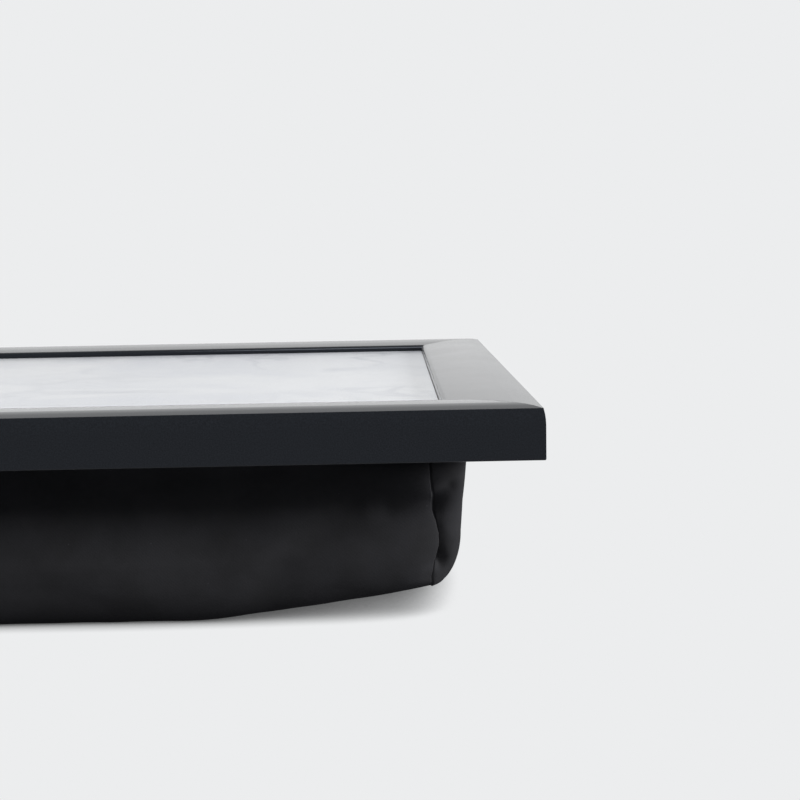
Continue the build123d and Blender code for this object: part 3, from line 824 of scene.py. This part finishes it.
def settledMoves(shaped, places):
    # Runs the cloth on every third point of the panels and returns each wall's moves at those points.
    step = cover["finer"]
    coarse = [grid[::step, ::step] for grid in shaped]
    own = [numbers[::step, ::step].ravel() for numbers in placesOf(shaped, places)]
    coarsePlaces = np.unique(np.concatenate(own), return_inverse=True)[1]
    piece = clothPiece(coarse, coarsePlaces)
    start = np.array([v.co for v in piece.data.vertices])
    cloth = piece.modifiers.new("cloth", "CLOTH")
    cloth.settings.vertex_group_mass = "pins"
    cloth.settings.use_pressure = True
    cloth.settings.uniform_pressure_force = settling["pressure"]
    cloth.settings.shrink_min = -settling["slack"]
    cloth.settings.tension_stiffness = settling["stiffness"]
    cloth.settings.compression_stiffness = settling["stiffness"]
    cloth.settings.bending_stiffness = settling["bending"]
    cloth.settings.effector_weights.gravity = 0
    for number in range(1, settling["frames"] + 1):
        bpy.context.scene.frame_set(number)
    settled = piece.evaluated_get(bpy.context.evaluated_depsgraph_get()).to_mesh()
    end = np.empty(len(settled.vertices) * 3)
    settled.vertices.foreach_get("co", end)
    moves = (end.reshape(-1, 3) - start) / mm
    print("cloth moved at most", round(float(np.abs(moves).max()), 2), "mm")
    bpy.context.scene.frame_set(1)
    bpy.data.objects.remove(piece)
    return [moves[numbers] for numbers in placesOf(coarse, coarsePlaces)[:4]]


def smoothMoves(coarse, shape):
    # Moves at every fine point: straight lines between the coarse ones, then averaged with their neighbours.
    step = cover["finer"]
    rows, columns = np.arange(shape[0]) / step, np.arange(shape[1]) / step
    row = np.minimum(rows.astype(int), coarse.shape[0] - 2)
    column = np.minimum(columns.astype(int), coarse.shape[1] - 2)
    v, u = (rows - row)[:, None, None], (columns - column)[None, :, None]
    low = coarse[row][:, column] * (1 - u) + coarse[row][:, column + 1] * u
    high = coarse[row + 1][:, column] * (1 - u) + coarse[row + 1][:, column + 1] * u
    fine = low * (1 - v) + high * v
    for axis in (0, 1):
        for _ in range(2):
            middle = np.moveaxis(fine, axis, 0)
            middle[1:-1] = (middle[:-2] + 2 * middle[1:-1] + middle[2:]) / 4
    return fine


def settle(shaped, places):
    # Adds the cloth's moves to the walls, kept within their limits and off the zip.
    for turn, coarse in enumerate(settledMoves(shaped, places)):
        grid = shaped[turn]
        moves = smoothMoves(coarse, grid.shape)
        normal = normalsOf(grid)
        outward = (moves * normal).sum(-1, keepdims=True)
        moves = np.clip(moves - outward * normal, -settling["sideways"], settling["sideways"])
        moves += np.clip(outward, -settling["inward"], settling["outward"]) * normal
        passed = lengthAlong(grid)
        share = np.ones(passed.shape)
        if turn == 0:
            share = np.interp(passed[:, -1:] - passed, *np.array(settling["frontShare"]).T)
        if turn == 1:
            share = np.interp(passed, *np.array(settling["rightShare"]).T)
        if turn == 2:
            share = 1 - window(-grid[..., 0], grid[..., 2], zipPlace["flatHalf"], zipPlace["settleSoftness"])
        shaped[turn] = grid + moves * share[..., None]
        shaped[turn][..., 2] = np.maximum(shaped[turn][..., 2], cover["sideHeights"][0])


def coverPanels():
    grids = coverForm(cover["finer"])
    places = joinMap(grids)
    uvs = panelUvs(grids)
    frontLength = lengthAlong(grids[0])
    frontPower, rightPower = seamDrift["powers"]
    driftSeam(grids[0], frontLength[:, -1:] - frontLength, frontPower)
    driftSeam(grids[1], lengthAlong(grids[1]), rightPower)
    shaped = [
        grid + normalsOf(grid) * wallRelief(turn, grid)[..., None] if turn < 4 else grid
        for turn, grid in enumerate(grids)
    ]
    settle(shaped, places)
    return shaped, places, uvs


panels, places, uvs = coverPanels()
points, quads, corners = joinGrids(panels, wallFlips, places)
coverUvs = np.concatenate([u.reshape(-1, 2) for u in uvs])[corners]
cushionCover = makePiece("cushion_cover_sewn", points, quads, coverUvs)
finishPiece(
    cushionCover, "cushion", "cover_cloth", finishes["cover_cloth"], "cushion_cover", "cushion_top_panel"
)
print("cover:", len(quads), "faces")


# Liner bag and its beads, each a little further in than the deepest fold of the cover

inside = {"linerDepth": 3.9, "beadDepth": 4.9, "clump": 0.4, "clumpLength": 11.0, "seed": 5}


def innerLayer(name, depth, lumps):
    # The cover's form without its folds, some way in, and the slight lumps of the beads.
    coarse = coverForm(1, depth)
    layers = []
    for number, grid in enumerate(coarse):
        outward = -1 if number == 4 else 1
        inward = lumps * (1 + waves(grid, inside["clumpLength"], inside["seed"])) / 2
        layers.append(grid - outward * normalsOf(grid) * inward[..., None])
    points, quads, _ = joinGrids(layers, wallFlips, joinMap(coarse))
    return makePiece(name, points, quads)


linerBag = innerLayer("liner_bag", inside["linerDepth"], 0.0)
finishPiece(linerBag, "cushion", "bag_cloth", finishes["bag_cloth"], "bead_bag")
beadFill = innerLayer("loose_beads", inside["beadDepth"], inside["clump"])
finishPiece(beadFill, "cushion", "beads", finishes["beads"], "bead_fill")
print("liner and beads done")


# Zip: two woven tapes, a coil of separate teeth, a folded hem round the slit and its topstitching

coilLow, coilHigh = boxOf("zip_coil")
zipTapeFace = tapeHigh[1]
zipCoil = {
    "pitch": 1.3,
    "wire": 0.36,           # mm radius of the monofilament
    "sides": 6,
    # One tooth from its foot on the tape, over the top, round its head and back: mm from the middle, mm off
    # the tape
    "tooth": ((1.75, 0.35), (1.72, 0.85), (1.35, 1.12), (0.5, 1.14),
              (-0.25, 1.02), (-0.5, 0.66), (-0.2, 0.38), (0.6, 0.36)),
    "footTaper": 0.4,       # radius of its two ends against the rest
}
hem = {
    "inner": (113.3, 4.4),  # mm from the zip's middle to the folded edge, along and up
    "corner": 1.0,
    "cornerPoints": 5,
    # Section of the hem: mm outwards from its folded edge, mm off the cover
    "section": ((0.7, -0.15), (0.2, -0.1), (0.0, 0.25), (0.22, 0.58), (0.8, 0.74), (1.7, 0.68), (2.2, 0.5),
                (2.7, 0.66), (3.7, 0.55), (4.5, 0.28), (5.0, -0.05), (4.6, -0.5), (3.0, -0.5), (1.6, -0.4)),
    "step": 0.8,
    "pucker": 0.06,
    "puckerAbove": 0.3,     # mm off the cover from which the cloth puckers
}
stitch = {
    "pitch": 3.0,
    "length": 2.4,
    "thread": 0.2,          # mm radius
    "inset": 2.2,
    "height": 0.52,
    "raised": 0.9,          # share of the radius by which the thread lies above that height
    "dip": 0.5,             # mm that its ends sink into the hem
    "taper": 0.85,
    "rings": 7,
    "sides": 6,
}
tapeWeave = {"around": 48, "lengths": 60, "squareness": 0.3, "ribDepth": 0.03, "ribSpacing": 0.9}


def zipTape(side):
    # A flat woven strip with rounded edges and fine lengthwise ribs: a section carried along the zip.
    low, high = boxOf("zip_tape_upper" if side > 0 else "zip_tape_lower")
    half = (high - low) / 2
    middle = (high + low) / 2
    rib, square = tapeWeave["ribDepth"], tapeWeave["squareness"]
    turn = np.linspace(0, 2 * math.pi, tapeWeave["around"], endpoint=False) + math.pi / tapeWeave["around"]
    across = half[2] * np.sign(np.cos(turn)) * np.abs(np.cos(turn)) ** square
    out = (half[1] - rib) * np.sign(np.sin(turn)) * np.abs(np.sin(turn)) ** square
    out = out + np.where(out > 0, rib * np.cos(across * 2 * math.pi / tapeWeave["ribSpacing"]), 0)
    x = np.linspace(low[0], high[0], tapeWeave["lengths"])
    rings = np.empty((len(x), len(turn), 3))
    rings[..., 0] = x[:, None]
    rings[..., 1] = middle[1] + out
    rings[..., 2] = middle[2] + across
    return rings


def tubeAlong(path, radii, sides, normal):
    # Rings round a flat path: its own side direction and the given normal span each ring.
    slope = np.gradient(path, axis=0)
    slope /= np.linalg.norm(slope, axis=1, keepdims=True)
    side = np.cross(slope, normal)
    turn = np.linspace(0, 2 * math.pi, sides, endpoint=False)
    ring = np.cos(turn)[:, None] * side[:, None] + np.sin(turn)[:, None] * np.array(normal)[None, None]
    return path[:, None] + np.asarray(radii).reshape(-1, 1, 1) * ring


def coilTeeth():
    # One bent tooth, repeated along the zip, and its mirror image half a pitch further on the other tape.
    flat = np.array(zipCoil["tooth"])
    path = np.stack([flat[:, 0] * 0, flat[:, 1], flat[:, 0]], 1)
    radii = np.full(len(path), zipCoil["wire"])
    radii[[0, -1]] *= zipCoil["footTaper"]
    grids, flips = tubeGrids(tubeAlong(path, radii, zipCoil["sides"], (1, 0, 0)))
    points, quads, _ = joinGrids(grids, flips)
    count = int((coilHigh[0] - coilLow[0] - 2 * zipCoil["wire"]) / zipCoil["pitch"])
    starts = coilLow[0] + zipCoil["wire"] + zipCoil["pitch"] * np.arange(count)
    allPoints, allQuads = [], []
    for side, shift in ((1, 0.0), (-1, zipCoil["pitch"] / 2)):
        shifts = np.stack([starts + shift, np.full(count, zipTapeFace), np.full(count, zipHeight)], 1)
        many, faces = repeated(points * (1, 1, side), quads if side > 0 else quads[:, ::-1], shifts)
        allQuads.append(faces + sum(len(p) for p in allPoints))
        allPoints.append(many)
    return np.concatenate(allPoints), np.concatenate(allQuads)


def hemPath(offset, step):
    # Points and outward directions round a rectangle with round corners, evenly spaced, offset outwards.
    halfA, halfZ = hem["inner"]
    radius = hem["corner"]
    pieces = []
    for number, (cx, cz) in enumerate([(halfA, halfZ), (-halfA, halfZ), (-halfA, -halfZ), (halfA, -halfZ)]):
        angle = math.radians(90) * (number + np.linspace(0, 1, hem["cornerPoints"]))
        way = np.stack([np.cos(angle), np.sin(angle)], 1)
        centre = np.array([cx - math.copysign(radius, cx), cz - math.copysign(radius, cz)])
        pieces.append(np.concatenate([centre + radius * way, way], 1))
    loop = np.concatenate(pieces + [pieces[0][:1]])
    place = loop[:, :2] + loop[:, 2:] * offset
    passed = np.concatenate([[0], np.cumsum(np.linalg.norm(np.diff(place, axis=0), axis=1))])
    stations = np.linspace(0, passed[-1], max(8, int(passed[-1] / step)), endpoint=False)
    columns = [np.interp(stations, passed, c) for c in (*place.T, *loop[:, 2:].T)]
    ways = np.stack(columns[2:], 1)
    return np.stack(columns[:2], 1), ways / np.linalg.norm(ways, axis=1, keepdims=True), stations


def hemRing():
    # The hem's closed section carried round the slit, with shallow puckers at the stitches.
    place, ways, stations = hemPath(0.0, hem["step"])
    section = np.array(hem["section"])
    out, height = section[:, 0], section[:, 1]
    flat = place[:, None] + ways[:, None] * out[None, :, None]
    pucker = hem["pucker"] * np.cos(stations * 2 * math.pi / stitch["pitch"])[:, None]
    pucker = pucker * (height > hem["puckerAbove"])
    y = coverBack + height[None] + pucker
    rings = np.stack([flat[..., 0], y, zipHeight + flat[..., 1]], -1)
    rings = np.concatenate([rings, rings[:1]])
    return np.concatenate([rings, rings[:, :1]], 1)


def topstitches():
    # Short arched threads that follow the hem, each sunk into it at both ends.
    place, ways, _ = hemPath(stitch["inset"], stitch["pitch"])
    ahead = np.stack([-ways[:, 1], ways[:, 0]], 1)
    share = np.linspace(-1, 1, stitch["rings"])
    turn = np.linspace(0, 2 * math.pi, stitch["sides"], endpoint=False)
    radius = stitch["thread"] * np.sqrt(1 - stitch["taper"] * share ** 2)
    rise = stitch["height"] + stitch["thread"] * stitch["raised"] - stitch["dip"] * share ** 4
    allPoints, allQuads = [], []
    alongStep = share[:, None] * stitch["length"] / 2 + 0 * turn
    sideStep = radius[:, None] * np.cos(turn)
    upStep = rise[:, None] + radius[:, None] * np.sin(turn)
    for spot, way, onward in zip(place, ways, ahead):
        flat = spot + alongStep[..., None] * onward + sideStep[..., None] * way
        ring = np.stack([flat[..., 0], coverBack + upStep, zipHeight + flat[..., 1]], -1)
        points, quads, _ = joinGrids(*tubeGrids(ring))
        allQuads.append(quads + sum(len(p) for p in allPoints))
        allPoints.append(points)
    return np.concatenate(allPoints), np.concatenate(allQuads)


for side, word in ((1, "upper"), (-1, "lower")):
    grids, flips = tubeGrids(zipTape(side))
    points, quads, corners = joinGrids(grids, flips)
    flatUvs = np.concatenate([g.reshape(-1, 3) for g in grids])[:, [0, 2]] * mm
    tape = makePiece("zip_tape_woven_" + word, points, quads, flatUvs[corners])
    finishPiece(tape, "cushion", "zip_tape", finishes["zip_tape"], "zip_tape_" + word)
coil = makePiece("zip_coil_teeth", *coilTeeth())
finishPiece(coil, "cushion", "zip_coil", finishes["zip_coil"], "zip_coil")
hemGrid = hemRing()
points, quads, corners = joinGrids([hemGrid])
hemUvs = hemGrid.reshape(-1, 3)[:, [0, 2]] * mm
zipHem = makePiece("zip_hem", points, quads, hemUvs[corners])
finishPiece(zipHem, "cushion", "cover_cloth", finishes["cover_cloth"])
thread = makePiece("zip_topstitching", *topstitches())
finishPiece(thread, "cushion", "cover_cloth", makeFinish("polyesterThread"))
print("zip done")


# Floor, backdrop and lights

studio = {
    "ground": "#ecedee",
    "paper": "#7c7d80",         # the same ground as the light sees it
    "paperRoughness": 0.9,
    "paperGloss": 0.1,
    "ambient": 0.05,
    "floorHalf": 6,
    "paintedShadowReach": 0.02,       # m from the cushion over which the floor's painted contact shadow reaches
    "paintedShadowOpen": 0.55,        # share of open sky under which that painted shadow falls, and its least brightness
    "paintedShadowDarkest": 0.08,
    # Each lamp: azimuth from the tray's right towards its front and elevation in degrees, distance and size
    # in m, power in W, and the place that it faces
    "lamps": {
        "key": (10.0, 11.5, 1.7, 0.4, 28.0, (0.1, 0.0, 0.06)),
        "fill": (75.0, 47.0, 1.7, 0.9, 19.0, (0.0, 0.0, 0.05)),
        "rear": (226.0, 27.0, 2.2, 1.9, 21.0, (0.0, 0.0, 0.05)),
    },
}


def seenRays(material):
    # One for rays that the camera, a gloss or a glass sends, and zero for the light itself.
    camera, gloss, glass = [
        addNode(material, "LightPath", output=f"Is {kind} Ray")
        for kind in ("Camera", "Glossy", "Transmission")
    ]
    some = addNode(material, "Math", {0: camera, 1: gloss}, operation="MAXIMUM")
    return addNode(material, "Math", {0: some, 1: glass}, operation="MAXIMUM")


def studioFloor():
    # Seamless pale paper. What the camera sees is even, with a painted contact shadow where the cushion nears
    # it.
    material, shader = startMaterial("seamlessPaper", {
        "Base Color": toLinear(studio["paper"]),
        "Roughness": studio["paperRoughness"],
        "Specular IOR Level": studio["paperGloss"],
    })
    # painted contact shadow: ambient occlusion dims the even colour that the camera sees
    near = addNode(material, "AmbientOcclusion", {"Distance": studio["paintedShadowReach"]}, "AO", samples=16)
    shade = addNode(material, "MapRange", {
        "Value": near, "From Max": studio["paintedShadowOpen"], "To Min": studio["paintedShadowDarkest"],
    })
    even = addNode(material, "Emission", {"Color": toLinear(studio["ground"]), "Strength": shade})
    seen = addNode(material, "MixShader", {0: seenRays(material), 1: shader.outputs["BSDF"], 2: even})
    fill(material.node_tree.nodes["Material Output"], {"Surface": seen})
    return material


def studioWorld():
    # Even pale backdrop for the camera and for reflections, and a plain soft light for the rest.
    world = bpy.data.worlds.new("studioWorld")
    world.use_nodes = True
    ambient = world.node_tree.nodes["Background"]
    fill(ambient, {"Color": toLinear(studio["ground"]), "Strength": studio["ambient"]})
    backdrop = addNode(world, "Background", {"Color": toLinear(studio["ground"])})
    mixed = addNode(world, "MixShader", {0: seenRays(world), 1: ambient.outputs["Background"], 2: backdrop})
    fill(world.node_tree.nodes["World Output"], {"Surface": mixed})
    bpy.context.scene.world = world


def areaLight(name, azimuth, elevation, distance, size, power, target):
    # A square lamp that faces its target, placed by its azimuth, elevation and distance.
    level = distance * math.cos(math.radians(elevation))
    place = np.array(target) + (
        level * math.cos(math.radians(azimuth)),
        -level * math.sin(math.radians(azimuth)),
        distance * math.sin(math.radians(elevation)),
    )
    lamp = bpy.data.lights.new(name, "AREA")
    lamp.shape = "SQUARE"
    lamp.size = size
    lamp.energy = power
    light = bpy.data.objects.new(name, lamp)
    light.visible_glossy = name == "fill"   # low lamps would burn out the board when seen from their far side
    light.location = place
    light.rotation_euler = (math.radians(90 - elevation), 0.0, math.radians(90 - azimuth))
    bpy.context.scene.collection.objects.link(light)


floorMesh = bpy.data.meshes.new("studio_floor")
half = studio["floorHalf"]
floorCorners = [(-half, -half, 0), (half, -half, 0), (half, half, 0), (-half, half, 0)]
floorMesh.from_pydata(floorCorners, [], [(0, 1, 2, 3)])
floor = bpy.data.objects.new("studio_floor", floorMesh)
floorMesh.materials.append(studioFloor())
bpy.context.scene.collection.objects.link(floor)
studioWorld()
for name, values in studio["lamps"].items():
    areaLight(name, *values)
bpy.context.scene.view_settings.view_transform = "Standard"


# Camera, as fitted to the edges of the frame in the photo

lens = {
    "eye": (0.1646, -0.6439, 0.14196),
    "yaw": -0.0097,
    "pitch": -0.1149,
    "roll": -0.0183,
    "focalPixels": 1374.12,
    "pixels": 800,
    "sensor": 36.0,
    "near": 0.01,
}


def photoCamera():
    # Looks along +Y, then turns: roll about its own axis, pitch down, yaw about the vertical.
    data = bpy.data.cameras.new("photoCamera")
    data.sensor_width = lens["sensor"]
    data.lens = lens["focalPixels"] * lens["sensor"] / lens["pixels"]
    data.clip_start = lens["near"]
    view = bpy.data.objects.new("photoCamera", data)
    level = math.pi / 2
    view.matrix_world = (
        Matrix.Translation(lens["eye"])
        @ Matrix.Rotation(lens["yaw"], 4, "Z")
        @ Matrix.Rotation(level + lens["pitch"], 4, "X")
        @ Matrix.Rotation(lens["roll"], 4, "Z")
    )
    bpy.context.scene.collection.objects.link(view)
    bpy.context.scene.camera = view


photoCamera()
print("stage set")

bpy.context.view_layer.update()
